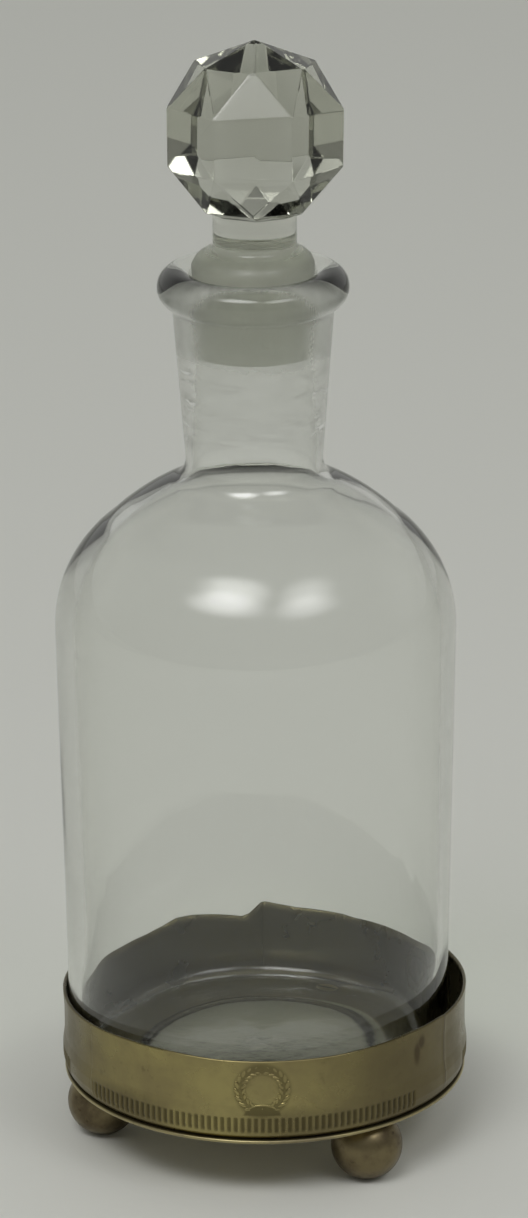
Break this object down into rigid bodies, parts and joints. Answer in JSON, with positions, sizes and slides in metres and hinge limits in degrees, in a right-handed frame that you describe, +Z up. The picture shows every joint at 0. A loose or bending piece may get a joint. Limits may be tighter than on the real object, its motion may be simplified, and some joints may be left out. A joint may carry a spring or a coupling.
{
  "type": "cruet bottle in holder",
  "caption": "Round-shouldered clear glass cruet bottle with a facet-cut ball stopper, standing in a shallow brass holder on ball feet.",
  "frame": {"origin": "on the ground, at the axis of the round holder", "axes": "+Z up along the holder's axis, the stamped wreath's side faces -Y"},
  "size_m": [0.0654, 0.0654, 0.18],
  "materials": {
    "bottle_glass": "clear blown glass, ground inside the neck",
    "stopper_glass": "clear cut glass, ground plug",
    "holder_brass": "thin stamped sheet, tarnished",
    "foot_brass": "turned, dull and browned",
    "screw_brass": "machined, dull"
  },
  "bodies": {
    "holder": {"band_front": "holder_brass", "band_left": "holder_brass", "band_right": "holder_brass", "base_plate": "holder_brass", "foot_left": "foot_brass", "foot_right": "foot_brass", "foot_back": "foot_brass", "foot_screw_left": "screw_brass", "foot_screw_right": "screw_brass", "foot_screw_back": "screw_brass"},
    "bottle": {"bottle": "bottle_glass"},
    "stopper": {"stopper": "stopper_glass"}
  },
  "joints": [
    {"name": "bottle_lift", "type": "slide", "parent": "holder", "child": "bottle", "axis": [0, 0, 1], "range_m": [0, 0.04]},
    {"name": "stopper_lift", "type": "slide", "parent": "bottle", "child": "stopper", "axis": [0, 0, 1], "range_m": [0, 0.03]}
  ]
}
